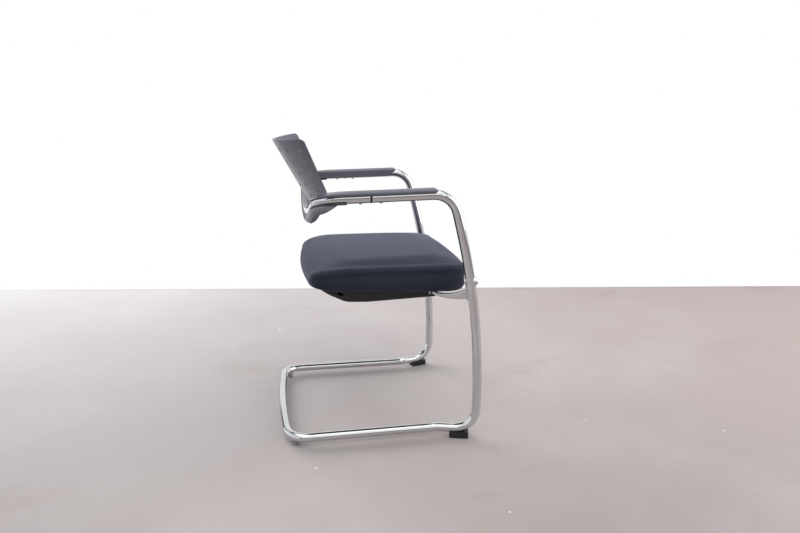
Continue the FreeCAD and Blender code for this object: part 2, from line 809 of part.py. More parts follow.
def keel_front_cutter():
    """Slopes the ends of the lower cover up to the arms."""
    front = float(d.keel_front_y)
    under = float(d.arm_rise) - front * tan(d.arm_slope) - float(d.tube_od) / 2
    low = [Vector(-300, 60, under + 2), Vector(-300, 60, under - 60),
           Vector(-300, front + 42, under - 60), Vector(-300, front + 32, under - 24),
           Vector(-300, front + 2, under - 1)]
    face = Part.Face(Part.makePolygon(low + [low[0]]))
    return solid("keel_front_cutter", face.extrude(Vector(600, 0, 0)))


def bow_spot(x):
    """The point of the rear bow's axis at a distance from the middle plane, and the bow's path."""
    edges = bow_path(d.joint_y)
    wall = Part.Face(Part.makePolygon([Vector(x, 0, 400), Vector(x, 400, 400), Vector(x, 400, 900),
                                       Vector(x, 0, 900), Vector(x, 0, 400)]))
    for edge in edges:
        hit = edge.common(wall)
        if hit.Vertexes:
            return hit.Vertexes[0].Point
        gap, pairs, info = edge.distToShape(wall)
        if gap < 1e-6:
            return pairs[0][0]
    raise ValueError("the rear bow does not reach this plane")


def build_bow_room():
    """The rear bow with its clearance, and the rolled edge that lies on it."""
    room = sweep_round("bow_clearance", bow_path(float(d.joint_y)), d.tube_od + d.fit_gap * 2)
    cap = rolled_cap()
    doc.recompute()
    return room, cut("back_edge", cap, cap_front_cutter())


def build_back(bore, shelf):
    outer = back_form("back_outer_form")
    inner = back_form("back_inner_form", d.shell_wall)
    half = float(d.shell_low_half) + 60
    dip = float(d.shell_dip)
    side_rise = dip * (half / float(d.shell_top_half)) ** 2
    rim = float(d.shell_top) - dip
    top_cutter = front_cutter(
        "top_cutter", [(-half, rim + side_rise), (0, rim), (half, rim + side_rise)], None, rim + 200)
    # just above the rear bow's axis the wall gives way to the rolled edge
    low_mid = bow_spot(0.0).z + 2
    low_side = bow_spot(-200.0).z + 2
    side_z = low_mid + (low_side - low_mid) * (half / 200.0) ** 2
    low_cutter = front_cutter(
        "low_cutter", [(-half, side_z), (0, low_mid), (half, side_z)], low_mid - 300, None)
    wall = cut("back_wall", outer, inner, top_cutter, low_cutter, wing_corner_cutter())
    whole = doc.addObject("Part::MultiFuse", "back_whole")
    whole.Shapes = [wall, shelf]
    shell_blank = cut("back_shell_blank", whole, bore, hole_rods())
    keel_blank = cut("back_lower_cover_blank", keel_cover(), keel_front_cutter(), bore)

    flat = headed_screw("back_screw_master", d.screw_head, d.screw_head_high, d.screw_d, 14)
    shell_places = []
    keel_places = []
    holes = []
    head_seat = float(d.screw_head) / 2 + 0.3
    for x in (-140.0, -55.0, 55.0, 140.0):
        spot = bow_spot(x)
        start = spot + Vector(0, -(float(d.tube_od) / 2 + float(d.fit_gap) + float(d.cap_wall)), 5)
        shell_places.append(facing(start, Vector(0, -1, 0)))
        holes.append(Part.makeCylinder(float(d.screw_d) / 2, 14, start, Vector(0, 1, 0)))
        holes.append(Part.makeCylinder(head_seat, 4, start, Vector(0, -1, 0)))
    for x in (-100.0, 0.0, 100.0):
        spot = bow_spot(x)
        start = spot + Vector(0, 0, -float(d.keel_depth) + 1)
        keel_places.append(facing(start, Vector(0, 0, -1)))
        holes.append(Part.makeCylinder(float(d.screw_d) / 2, 25, start, Vector(0, 0, 1)))
        holes.append(Part.makeCylinder(head_seat, 6, start, Vector(0, 0, -1)))
    long = headed_screw("keel_screw_master", d.screw_head, d.screw_head_high, d.screw_d, 25, dome=True)
    drill = solid("back_drill", Part.Compound(holes))
    shell = cut("back_shell", shell_blank, drill)
    keel = cut("back_lower_cover", keel_blank, drill)
    return {
        "back_shell": shell,
        "back_lower_cover": keel,
        "back_shell_screws": group("back_shell_screws", flat, shell_places),
        "back_cover_screws": group("back_cover_screws", long, keel_places),
    }, drill


# Seat: cushion, board, support and lower cover, in a frame that lies on the seat's underside

seat_place = Placement(vec(0, 0, d.seat_rise), Rotation(Vector(1, 0, 0), float(d.seat_tilt)))


def seat_point(x, y, z):
    """A point given in the seat's own frame."""
    return seat_place.multVec(vec(x, y, z))


def cushion_ring(side_in, front_in, rear_in, front_z, rear_z, rear_bow):
    """One ring of the cushion: bowed sides joined by round corners, on a plane that may tilt."""
    half = float(d.seat_half) - side_in
    front = -float(d.seat_front) + front_in
    rear = float(d.seat_rear) - rear_in
    front_bow = 8.0
    # the corners get tighter as the ring gets smaller
    front_round = float(d.seat_front_round) - (side_in + front_in) * 0.15
    rear_round = float(d.seat_rear_round) - (side_in + rear_in) * 0.15

    def level(x, y):
        share = (y - front) / (rear - front)
        return vec(x, y, front_z + (rear_z - front_z) * share)

    half_in = half - float(d.seat_side_bow)
    points = [
        (half_in - front_round, front + front_bow), (half_in, front + front_bow + front_round),
        (half_in, rear - rear_bow - rear_round), (half_in - rear_round, rear - rear_bow),
    ]
    # corners bulge by the share of a true quarter circle
    quarter = 1 - math.sqrt(0.5)
    corner_front = (half_in - front_round * quarter, front + front_bow + front_round * quarter)
    corner_rear = (half_in - rear_round * quarter, rear - rear_bow - rear_round * quarter)
    side_mid = (points[1][1] + points[2][1]) / 2
    flip = [(-x, y) for x, y in points]
    arcs = [
        (flip[0], (0, front), points[0]),
        (points[0], corner_front, points[1]),
        (points[1], (half, side_mid), points[2]),
        (points[2], corner_rear, points[3]),
        (points[3], (0, rear), flip[3]),
        (flip[3], (-corner_rear[0], corner_rear[1]), flip[2]),
        (flip[2], (-half, side_mid), flip[1]),
        (flip[1], (-corner_front[0], corner_front[1]), flip[0]),
    ]
    return Part.Wire([Part.Arc(level(*a), level(*b), level(*c)).toShape() for a, b, c in arcs])


def build_cushion():
    """The cushion: an underside drawn in, full sides, rounded shoulders and a low crown."""
    rings = [
        # taken in at the side, front and rear, height at the front and rear, bow of the rear edge
        (14, 12, 13, -9, -7, 9),
        (4, 3, 3, 2, 1, 9),
        (0, 0, 0, 20, 14, 10),
        (1, 0, 6, 42, 30, 11),
        (6, 6, 21, 56, 43, 12),
        (20, 20, 42, 66, 52, 12),
        (46, 48, 72, 72, 58, 12),
        (78, 82, 106, 76, 62, 12),
    ]
    # surfaces of degree 3 keep the crown from waving between the rings
    loft = Part.makeLoft([cushion_ring(*ring) for ring in rings], True, False, False, 3)
    blank = solid("seat_cushion_blank", loft)
    room = board_block("cushion_room", d.soft_gap, d.board_thick + d.soft_gap, sunk=12)
    return cut("seat_cushion_local", blank, room)


def board_outline(grow):
    """The seat board's outline, made larger or smaller all round."""
    half = d.board_half + grow
    front = -(d.board_front + grow)
    rear = d.board_rear + grow
    side_rear = rear - d.board_rear_bow
    r_front = d.board_front_round + grow
    r_rear = d.board_rear_round + grow
    q = 1 - math.sqrt(0.5)
    return [
        (half - r_front, front),
        (half, front + r_front, (half - r_front * q, front + r_front * q)),
        (half, side_rear - r_rear),
        (half - r_rear, side_rear, (half - r_rear * q, side_rear - r_rear * q)),
        (-half + r_rear, side_rear, (0, rear)),
        (-half, side_rear - r_rear, (-half + r_rear * q, side_rear - r_rear * q)),
        (-half, front + r_front),
        (-half + r_front, front, (-half + r_front * q, front + r_front * q)),
    ]


def board_block(label, grow, thick, sunk=0):
    """A plate with the seat board's outline."""
    body = new_body(label)
    sketch = new_sketch(body, label + "_outline", "XY_Plane", rise=Size(-sunk))
    draw(sketch, board_outline(as_size(grow)))
    pad(body, sketch, as_size(thick) + sunk)
    return body


def pan_profile(grow):
    """Side outline of the lower cover, taken in by the wall for its inside."""
    wall = d.pan_wall * grow
    beyond = d.pan_rear + 20
    return [
        (-d.pan_front + wall, Size(0) + grow * 2),
        (-d.pan_front + wall, -d.pan_front_deep + wall),
        (Size(30), -d.pan_deep + wall),
        (Size(76), -d.pan_deep + wall),
        (Size(106), -d.pan_deep * 0.82 + wall, (Size(92), -d.pan_deep * 0.95 + wall)),
        (d.pan_rear, -Size(9) + wall),
        (beyond, -Size(9) + wall),
        (beyond, Size(0) + grow * 2),
    ]


def pan_block(label, grow):
    """The lower cover's outer form, or with 1 the room inside it."""
    body = new_body(label)
    side = draw(new_sketch(body, label + "_side", "YZ_Plane"), pan_profile(grow))
    pad(body, side, d.board_half * 2, side="Symmetric")
    plan = new_sketch(body, label + "_plan", "XY_Plane", rise=Size(10))
    draw(plan, board_outline(-d.pan_inset - d.pan_wall * grow))
    far = d.board_front + 60
    draw(plan, [(far, -far), (far, far), (-far, far), (-far, -far)])
    trimmed = pocket(body, plan)
    if grow == 0:
        round_edges(body, trimmed, d.pan_round, is_pan_bottom_edge)
    return body


def is_pan_bottom_edge(edge):
    """The edges between the lower cover's walls and its bottom, not the creases of the bottom."""
    box = edge.BoundBox
    if box.ZMax > -float(d.pan_round):
        return False
    crosswise = box.YLength < 1e-3 and box.ZLength < 1e-3 and box.YMin > -float(d.pan_front) + 1
    upright = box.ZLength > 5 and box.XLength < 1e-3 and box.YLength < 1e-3
    return not crosswise and not upright


def pan_depth(y):
    """Depth of the lower cover's outside below the seat's underside."""
    front = -float(d.pan_front)
    if y < 30:
        share = (y - front) / (30 - front)
        return float(d.pan_front_deep) + float(d.pan_deep - d.pan_front_deep) * share
    if y < 76:
        return float(d.pan_deep)
    share = (y - 106) / (float(d.pan_rear) - 106)
    return float(d.pan_deep) * 0.82 + (9 - float(d.pan_deep) * 0.82) * share


def build_seat():
    cushion = build_cushion()
    board = board_block("seat_board_blank", 0, d.board_thick)
    pan = cut("pan_dish", pan_block("pan_outside", 0), pan_block("pan_room", 1))
    posts = []
    post_holes = []
    board_holes = []
    pan_places = []
    screw_long = 16.0
    for x in (-float(d.post_x), float(d.post_x)):
        for y in (float(d.post_front_y), float(d.post_rear_y)):
            deep = pan_depth(y)
            posts.append(Part.makeCylinder(float(d.post_d) / 2, deep - 1.0, Vector(x, y, -deep + 1.0)))
            post_holes.append(Part.makeCylinder(float(d.screw_head) / 2 + 0.5, deep, Vector(x, y, -deep - 8)))
            post_holes.append(Part.makeCylinder(float(d.screw_d) / 2, 30, Vector(x, y, -29)))
            board_holes.append(Part.makeCylinder(float(d.screw_d) / 2, screw_long - 8, Vector(x, y, 0)))
            pan_places.append(Placement(Vector(x, y, -8), Rotation(Vector(1, 0, 0), 180)))
    slots = []
    pan_half = float(d.board_half - d.pan_inset)
    for x in (-pan_half - 5, pan_half - 12):
        slot = Part.makeBox(17, 16, 7, Vector(0, -8, -3.5))
        slot.Placement = Placement(Vector(x, 104, -21), Rotation(Vector(1, 0, 0), 22))
        slots.append(slot)
        # the bracket's arm comes in here
        notch = Part.makeBox(17, 23, 16, Vector(x, float(d.cross_y) - 21, -22.5))
        slots.append(notch)
    pan_full = doc.addObject("Part::MultiFuse", "pan_full")
    pan_full.Shapes = [pan, solid("pan_posts", Part.Compound(posts))]
    pan_local = cut("pan_local", pan_full, solid("pan_openings", Part.Compound(post_holes + slots)))

    bolt_long = float(d.rail_thick + d.board_thick)
    bolt = headed_screw("seat_bolt_master", d.bolt_head, d.bolt_head_high, d.bolt_d, bolt_long)
    tee = tee_nut()
    bolt_places = []
    tee_places = []
    rail_holes = []
    for x in (-float(d.rail_x), float(d.rail_x)):
        for y in (float(d.bolt_front_y), float(d.bolt_rear_y)):
            bolt_places.append(Placement(Vector(x, y, -float(d.rail_thick)), Rotation(Vector(1, 0, 0), 180)))
            tee_places.append(Placement(Vector(x, y, 0), Rotation()))
            rail_holes.append(Part.makeCylinder(float(d.bolt_d) / 2, 40, Vector(x, y, -20)))
            board_holes.append(Part.makeCylinder(float(d.bolt_d) / 2 + 1.5, 40, Vector(x, y, -20)))
            board_holes.append(Part.makeCylinder(9, 1.5, Vector(x, y, float(d.board_thick) - 1.5)))
    board_local = cut("board_local", board, solid("board_holes", Part.Compound(board_holes)))

    rail_front = float(d.cross_y) - 12
    rail = Part.makeBox(float(d.rail_wide), float(d.rail_rear_y) - rail_front, float(d.rail_thick),
                        Vector(-float(d.rail_x) - float(d.rail_wide) / 2, rail_front, -float(d.rail_thick)))
    rail_blank = solid("rail_blank", rail)
    rail_local = cut("rail_local", rail_blank, solid("rail_drill", Part.Compound(rail_holes)))

    middle = Vector(-float(d.cross_half), float(d.cross_y), -float(d.rail_thick) - float(d.cross_d) / 2)
    tube = Part.makeCylinder(float(d.cross_d) / 2, 2 * float(d.cross_half), middle, Vector(1, 0, 0))
    core = Part.makeCylinder(float(d.cross_d) / 2 - 2, 2 * float(d.cross_half), middle, Vector(1, 0, 0))
    doc.recompute()
    pieces = {
        "seat_cushion": placed("seat_cushion", cushion),
        "seat_board": placed("seat_board", board_local),
        "seat_lower_cover": placed("seat_lower_cover", pan_local),
        "seat_rail_right": placed("seat_rail_right", rail_local),
        "seat_cross_tube": placed("seat_cross_tube", solid("cross_local", tube.cut(core))),
        "seat_cover_screws": placed("seat_cover_screws", group(
            "cover_screws_local",
            headed_screw("cover_screw_master", d.screw_head, d.screw_head_high, d.screw_d, screw_long),
            pan_places)),
        "seat_bolts": placed("seat_bolts", group("bolts_local", bolt, bolt_places)),
        "seat_tee_nuts": placed("seat_tee_nuts", group("tees_local", tee, tee_places)),
    }
    pieces["seat_rail_left"] = mirrored("seat_rail_left", pieces["seat_rail_right"])
    return pieces


def placed(label, local):
    """A seat piece moved from the seat's own frame to the chair's."""
    doc.recompute()
    shape = local.Shape.copy()
    shape.Placement = seat_place.multiply(shape.Placement)
    return solid(label, shape)


def tee_nut():
    """A flanged nut pressed into the board from above, round the bolt."""
    body = new_body("tee_nut_master")
    sketch = new_sketch(body, "tee_profile", "XZ_Plane")
    bore = d.bolt_d / 2
    sleeve = bore + 1.5
    top = d.board_thick
    draw(sketch, [(bore, 2), (sleeve, 2), (sleeve, top - 1.5), (Size(9), top - 1.5), (Size(9), top), (bore, top)])
    revolve(body, sketch)
    return body


# Seat brackets on the legs

def leg_spot(rise):
    """The point of the right leg's axis at a height, and the leg's direction there."""
    wall = Part.Face(Part.makePolygon([Vector(-400, -400, rise), Vector(0, -400, rise), Vector(0, -100, rise),
                                       Vector(-400, -100, rise), Vector(-400, -400, rise)]))
    for edge in frame_path():
        gap, pairs, info = edge.distToShape(wall)
        if gap < 1e-6:
            at = pairs[0][0]
            return at, edge.tangentAt(edge.Curve.parameter(at))
    raise ValueError("the leg does not reach this height")


def box_ring(centre, along, width, high):
    """An upright rectangle with rounded corners, square to a level direction."""
    across = Vector(0, 0, 1).cross(along).normalize()
    up = Vector(0, 0, 1)
    w = width / 2
    h = high / 2
    r = min(w, h) * 0.8
    q = r * (1 - math.sqrt(0.5))
    spots = []
    for sx, sz in ((1, 1), (-1, 1), (-1, -1), (1, -1)):
        a = (sx * (w - r), sz * h) if sx * sz < 0 else (sx * w, sz * (h - r))
        c = (sx * w, sz * (h - r)) if sx * sz < 0 else (sx * (w - r), sz * h)
        spots.append((a, (sx * (w - q), sz * (h - q)), c))
    edges = []
    for i, (a, b, c) in enumerate(spots):
        point = [centre + across * p[0] + up * p[1] for p in (a, b, c)]
        following = spots[(i + 1) % 4][0]
        edges.append(Part.Arc(*point).toShape())
        edges.append(Part.LineSegment(point[2], centre + across * following[0] + up * following[1]).toShape())
    return Part.Wire(edges)


def build_brackets():
    """Chrome bracket: a saddle on the leg, a tapering arm and a socket for the cross tube."""
    low, along_low = leg_spot(float(d.saddle_low))
    high, along_high = leg_spot(float(d.saddle_high))
    axis = (high - low).normalize()
    outer_r = float(d.tube_od) / 2 + float(d.saddle_wall)
    saddle = Part.makeCylinder(outer_r, (high - low).Length, low, axis)
    # only the inner rear half of the ring is there
    keep = Part.makeBox(80, 80, 200, Vector(0, 0, -50))
    keep.Placement = Placement(low, Rotation(Vector(0, 0, 1), -20))
    saddle = saddle.common(keep)
    socket_x = -float(d.cross_half)
    socket_at = seat_point(socket_x, d.cross_y, -d.rail_thick - d.cross_d / 2)
    start = Vector(low.x + 12, low.y + 13, 411.5)
    bend = Vector((start.x * 0.45 + socket_at.x * 0.55) - 6, (start.y * 0.45 + socket_at.y * 0.55) + 2, 399.5)
    stop = Vector(socket_at.x - 1, socket_at.y - 5, socket_at.z - 1)
    along = (stop - start)
    along.z = 0
    rings = [box_ring(start, along, 11, 27), box_ring(bend, along, 9, 13), box_ring(stop, along, 8, 10)]
    arm = Part.makeLoft(rings, True, False)
    socket = Part.makeCylinder(float(d.cross_d) / 2 + 2.5, 21, Vector(socket_x - 5, socket_at.y, socket_at.z),
                               Vector(1, 0, 0))
    bore = Part.makeCylinder(float(d.cross_d) / 2, 40, Vector(socket_x, socket_at.y, socket_at.z), Vector(1, 0, 0))
    whole = saddle.fuse([arm, socket]).cut(bore)
    blank = solid("seat_bracket_right_blank", whole)
    tube = sweep_round("leg_clearance", frame_path(), d.tube_od)
    at, along_leg = leg_spot(float(d.leg_bolt_rise))
    aim = Vector(0.30, 1, 0.0).normalize()
    front = at - aim * (float(d.tube_od) / 2 + 2.5)
    bolt_long = float(d.tube_od) + 2.5 + float(d.saddle_wall)
    drill = rod("leg_bolt_hole", front, aim, d.leg_bolt_d, bolt_long)
    bolt_master = headed_screw("leg_bolt_master", d.leg_bolt_head, 4.5, d.leg_bolt_d, bolt_long, dome=True)
    washer_shape = Part.makeCylinder(float(d.washer_d) / 2, 9, front, aim)
    washer_blank = solid("leg_washer_blank", washer_shape)
    bracket = cut("seat_bracket_right", blank, tube, drill, washer_blank)
    washer = cut("leg_washer_right", washer_blank, tube, drill)
    return bracket, washer, drill, bolt_master, facing(front, aim * -1)


# Glides

def front_foot(centre, along, tube):
    """A plastic block shaped round the tube above it."""
    body = new_body("front_glide_blank")
    sketch = new_sketch(body, "front_glide_plan", "XY_Plane")
    half = d.glide_length / 2
    wide = d.glide_width / 2
    draw(sketch, [(half, -wide), (half, wide), (-half, wide), (-half, -wide)])
    block = pad(body, sketch, d.glide_high)
    high = float(d.glide_high)
    round_edges(body, block, Size(3), lambda e: e.BoundBox.ZLength > high - 0.1)
    angle = math.degrees(math.atan2(along.y, along.x))
    body.Placement = Placement(centre, Rotation(Vector(0, 0, 1), angle))
    return cut("front_glide_right", body, tube)


def rear_stud(centre, tube):
    """A small round stud under the tube's rear corner."""
    body = new_body("rear_glide_blank")
    sketch = new_sketch(body, "rear_glide_profile", "XZ_Plane")
    rim = d.heel_stud_d / 2
    draw(sketch, [(0, 0), (rim - 2, 0), (rim, 2), (rim, d.heel_stud_high), (0, d.heel_stud_high)])
    revolve(body, sketch)
    body.Placement = Placement(centre, Rotation())
    return cut("rear_glide_right", body, tube)


def build_glides(tube):
    front = -float(d.depth - d.tube_od) / 2
    share = (float(d.glide_y) - front) / float(d.toe_run)
    along = vec(d.leg_half - d.rail_half, d.toe_run, 0).normalize()
    x = -float(d.leg_half) + float(d.leg_half - d.rail_half) * share - 2
    rear = float(d.depth - d.tube_od) / 2 - float(d.loop_bow)
    reach = float(d.heel_bend) * (1 - math.sqrt(0.5))
    heel = vec(-float(d.rail_half) + reach, rear - reach, 0)
    return front_foot(vec(x, d.glide_y, 0), along, tube), rear_stud(heel, tube)


# The whole chair

def build_frame(pad_holes, back_drill, leg_drill):
    """Both bent tubes, bored through and drilled for what is screwed to them."""
    bore_d = d.tube_od - d.tube_wall * 2
    frame_bar = sweep_round("frame_bar", frame_path(), d.tube_od)
    frame_bore = sweep_round("frame_bore", frame_path(), bore_d)
    rear_start = float(d.joint_y) + float(d.ring_width) / 2
    bow_bar = sweep_round("bow_bar", bow_path(rear_start), d.tube_od)
    bow_bore = sweep_round("bow_bore", bow_path(rear_start), bore_d)
    left_holes = [mirrored(h.Label + "_left", h) for h in pad_holes]
    frame_tube = cut("frame_tube", frame_bar, frame_bore, leg_drill,
                     mirrored("leg_drill_left", leg_drill), *pad_holes, *left_holes)
    bow_tube = cut("back_bow_tube", bow_bar, bow_bore, back_drill, *pad_holes, *left_holes)
    return frame_tube, bow_tube, frame_bar


def build_chair():
    bow_room, rolled_edge = build_bow_room()
    nodes, pad_holes = build_arms(bow_room, rolled_edge)
    back, back_drill = build_back(bow_room, rolled_edge)
    nodes.update(back)
    nodes.update(build_seat())
    bracket, washer, leg_drill, bolt_master, bolt_place = build_brackets()
    frame_tube, bow_tube, frame_bar = build_frame(pad_holes, back_drill, leg_drill)
    nodes["frame_tube"] = frame_tube
    nodes["back_bow_tube"] = bow_tube
    bolt_right = group("leg_bolt_right", bolt_master, [bolt_place])
    front_glide, rear_glide = build_glides(frame_bar)
    for label, piece in (
        ("seat_bracket_right", bracket), ("leg_washer_right", washer), ("leg_bolt_right", bolt_right),
        ("front_glide_right", front_glide), ("rear_glide_right", rear_glide),
    ):
        nodes[label] = piece
        left = label.replace("right", "left")
        nodes[left] = mirrored(left, piece)
    return nodes


def check_objects(nodes):
    """Stops with a message if a feature failed or a piece isn't a sound solid."""
    for thing in doc.Objects:
        if "Invalid" in thing.State or "Error" in thing.State:
            raise RuntimeError(f"{thing.Label} failed: {thing.State}")
    for label, piece in nodes.items():
        shape = piece.Shape
        if shape.isNull() or not shape.isValid() or not shape.Solids:
            raise RuntimeError(f"{label} is not a sound solid")


nodes = build_chair()
doc.recompute()
check_objects(nodes)
os.makedirs("parts", exist_ok=True)
for label, piece in sorted(nodes.items()):
    piece.Shape.exportStep(f"parts/{label}.step")
    print(f"{label}: {len(piece.Shape.Solids)} solid(s), {piece.Shape.Volume:.0f} mm3")
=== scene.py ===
"""Cantilever visitor chair: chrome tube frame, perforated plastic back and a padded fabric seat."""
import math

import bmesh
import bpy
from mathutils import Matrix, Vector


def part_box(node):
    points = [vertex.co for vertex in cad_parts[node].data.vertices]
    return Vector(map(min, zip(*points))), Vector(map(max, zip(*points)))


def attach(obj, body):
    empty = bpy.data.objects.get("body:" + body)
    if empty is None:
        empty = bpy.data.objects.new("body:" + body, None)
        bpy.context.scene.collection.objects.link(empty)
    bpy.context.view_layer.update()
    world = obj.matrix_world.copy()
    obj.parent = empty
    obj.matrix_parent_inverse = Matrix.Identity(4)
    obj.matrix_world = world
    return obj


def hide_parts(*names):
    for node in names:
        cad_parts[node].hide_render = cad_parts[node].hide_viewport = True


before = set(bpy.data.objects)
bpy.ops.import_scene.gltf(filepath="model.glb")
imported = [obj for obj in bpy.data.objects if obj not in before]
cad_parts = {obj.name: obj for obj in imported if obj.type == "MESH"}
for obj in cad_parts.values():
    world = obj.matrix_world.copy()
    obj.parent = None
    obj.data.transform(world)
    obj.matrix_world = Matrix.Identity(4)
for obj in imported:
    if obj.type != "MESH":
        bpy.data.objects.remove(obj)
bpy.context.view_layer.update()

# Camera.
# It stands a little above the arms on the sitter's right and looks slightly down, so the chair
# faces right. Its place and angles were fitted to points of the chair.

PHOTO_WIDTH = 800
FOCAL_PIXELS = 615.0
SENSOR_WIDTH = 36.0
CAMERA_PLACE = (-1.7232, 0.2655, 0.8698)
YAW = -0.2047
PITCH = 0.2478
ROLL = 0.0189

forward = Vector((
    math.cos(PITCH) * math.cos(YAW), math.cos(PITCH) * math.sin(YAW), -math.sin(PITCH)))
level_right = forward.cross(Vector((0, 0, 1))).normalized()
level_up = level_right.cross(forward)
right = math.cos(ROLL) * level_right + math.sin(ROLL) * level_up
up = math.cos(ROLL) * level_up - math.sin(ROLL) * level_right
lens = bpy.data.cameras.new("camera")
lens.sensor_width = SENSOR_WIDTH
lens.lens = FOCAL_PIXELS / PHOTO_WIDTH * SENSOR_WIDTH
lens.clip_start = 0.05
camera = bpy.data.objects.new("camera", lens)
camera.matrix_world = Matrix((right, up, -forward)).transposed().to_4x4()
camera.location = CAMERA_PLACE
bpy.context.collection.objects.link(camera)
bpy.context.scene.camera = camera
bpy.context.scene.view_settings.view_transform = "Standard"

# Room.
# A pale sealed concrete floor in front of a white wall. Light falls from above, from a window
# between the wall and the back of the chair, and a little from one in front of the chair.

WALL_TURN = -0.119
WALL_AWAY = 1.240
WALL_JOINT = 0.03
FLOOR_DEPTH = 14
FLOOR_LENGTH = 22
WARM_CONCRETE = (0.505, 0.420, 0.402)
COOL_CONCRETE = (0.455, 0.440, 0.452)
PAINTED_SHADE_NEAR_CONCRETE = (0.375, 0.322, 0.306)
PALE_CLOUD = (0.60, 0.57, 0.555)
BROWN_STAIN = (0.36, 0.30, 0.275)
DARK_SAND = (0.33, 0.29, 0.27)
WHITE_CHIP = (0.86, 0.85, 0.84)
JOINT_DIRT = (0.30, 0.27, 0.27)
BOUNCED_CONCRETE = (0.19, 0.175, 0.17)
WHITE = (1.0, 1.0, 1.0)
WINDOW_BAR = (0.05, 0.05, 0.06)
SKY_LIGHT = (0.55, 0.56, 0.58)
DIM_SIDE = (0.07, 0.071, 0.076)


class Wire:
    """One value inside a material. Arithmetic on it adds the Math nodes that do the same."""

    def __init__(self, nodes, socket):
        self.nodes = nodes
        self.socket = socket

    def maths(self, operation, *others):
        inputs = dict(enumerate((self, *others)))
        return self.nodes.node("ShaderNodeMath", {"operation": operation}, inputs)

    def __add__(self, other):
        return self.maths("ADD", other)

    __radd__ = __add__

    def __mul__(self, other):
        return self.maths("MULTIPLY", other)

    __rmul__ = __mul__

    def __sub__(self, other):
        return self.maths("SUBTRACT", other)

    def __rsub__(self, other):
        return self.nodes.node("ShaderNodeMath", {"operation": "SUBTRACT"}, {0: other, 1: self})

    def sine(self):
        return self.maths("SINE")

    def absolute(self):
        return self.maths("ABSOLUTE")

    def larger(self, other):
        return self.maths("MAXIMUM", other)

    def smaller(self, other):
        return self.maths("MINIMUM", other)

    def fade(self, start, end):
        """0 before start, 1 past end and a smooth rise between them. End may be the lower one."""
        return self.nodes.node(
            "ShaderNodeMapRange", {"interpolation_type": "SMOOTHSTEP"},
            {"Value": self, "From Min": start, "From Max": end})


class Nodes:
    """The nodes of one material or of the world."""

    def __init__(self, tree):
        self.tree = tree

    def feed(self, socket, value):
        if isinstance(value, Wire):
            self.tree.links.new(value.socket, socket)
        else:
            socket.default_value = value

    def node(self, kind, settings=None, inputs=None, output=0):
        """Adds any node and returns one of its outputs, chosen by number or name."""
        made = self.tree.nodes.new(kind)
        for name, value in (settings or {}).items():
            if name == "stops":
                ramp = made.color_ramp
                while len(ramp.elements) < len(value):
                    ramp.elements.new(0.5)
                for element, (place, colour) in zip(ramp.elements, value):
                    element.position = place
                    element.color = (*colour, 1)
            else:
                setattr(made, name, value)
        for name, value in (inputs or {}).items():
            self.feed(made.inputs[name], value)
        return Wire(self, made.outputs[output])

    def place(self):
        """Object coordinates, in metres."""
        return self.node("ShaderNodeTexCoord", output="Object")

    def moved(self, scale, shift=(0, 0, 0)):
        return self.node("ShaderNodeMapping", inputs={
            "Vector": self.place(), "Location": shift, "Scale": scale})

    def axis(self, number, place=None):
        """One coordinate of a place."""
        return self.node(
            "ShaderNodeSeparateXYZ", inputs={0: place or self.place()}, output=number)

    def noise(self, scale, detail, roughness, place=None):
        return self.node("ShaderNodeTexNoise", inputs={
            "Vector": place or self.place(),
            "Scale": scale, "Detail": detail, "Roughness": roughness})

    def blend(self, factor, first, second):
        """A colour between two colours."""
        first = first if isinstance(first, Wire) else (*first, 1)
        second = second if isinstance(second, Wire) else (*second, 1)
        return self.node(
            "ShaderNodeMix", {"data_type": "RGBA"}, {0: factor, 6: first, 7: second}, output=2)


class Finish(Nodes):
    """A material that is being put together round a Principled shader."""

    def __init__(self, name, **fixed):
        self.material = bpy.data.materials.new(name)
        self.material.use_nodes = True
        super().__init__(self.material.node_tree)
        self.skin = self.tree.nodes["Principled BSDF"]
        self.wear(**fixed)

    def bump(self, height, distance, strength, under=None):
        inputs = {"Height": height, "Distance": distance, "Strength": strength}
        if under is not None:
            inputs["Normal"] = under
        return self.node("ShaderNodeBump", inputs=inputs)

    def wear(self, **looks):
        """Sets sockets of the shader, named with underscores, to values or wires."""
        for socket, value in looks.items():
            self.feed(self.skin.inputs[socket.replace("_", " ")], value)


concrete = Finish("sealed_concrete")
along = concrete.axis(1)
across = concrete.axis(0)
concrete_depth = across * math.cos(WALL_TURN) + along * math.sin(WALL_TURN)
concrete_cloud = concrete.noise(0.9, 6.0, 0.62)
concrete_stain = concrete.noise(
    2.6, 5.0, 0.7, concrete.moved(scale=(1, 0.55, 1), shift=(3.1, 0.4, 0)))
concrete_sand = concrete.noise(130.0, 2.0, 0.6)
concrete_chips = concrete.noise(24.0, 2.0, 0.5)
concrete_hue = concrete.blend(along.fade(-2.2, 1.9), WARM_CONCRETE, COOL_CONCRETE)
# Towards the camera the floor is painted darker: painted shade for the dim side of the room.
for share, colour in (
        (across.fade(0.9, -1.4) * 0.8, PAINTED_SHADE_NEAR_CONCRETE),
        (concrete_cloud.fade(0.42, 0.66) * 0.35, PALE_CLOUD),
        (concrete_stain.fade(0.55, 0.72) * 0.35, BROWN_STAIN),
        (concrete_sand.fade(0.55, 0.8) * 0.22, DARK_SAND),
        (concrete_chips.fade(0.755, 0.77) * 0.7, WHITE_CHIP),
        (concrete_depth.fade(WALL_AWAY - WALL_JOINT, WALL_AWAY) * 0.35, JOINT_DIRT)):
    concrete_hue = concrete.blend(share, concrete_hue, colour)
bounced = concrete.node("ShaderNodeLightPath", output="Is Diffuse Ray")
concrete.wear(
    Base_Color=concrete.blend(bounced, concrete_hue, BOUNCED_CONCRETE),
    Roughness=concrete_cloud.fade(0.2, 0.8) * 0.15 + 0.55,
    Normal=concrete.bump(concrete_sand, 0.0006, 0.25))

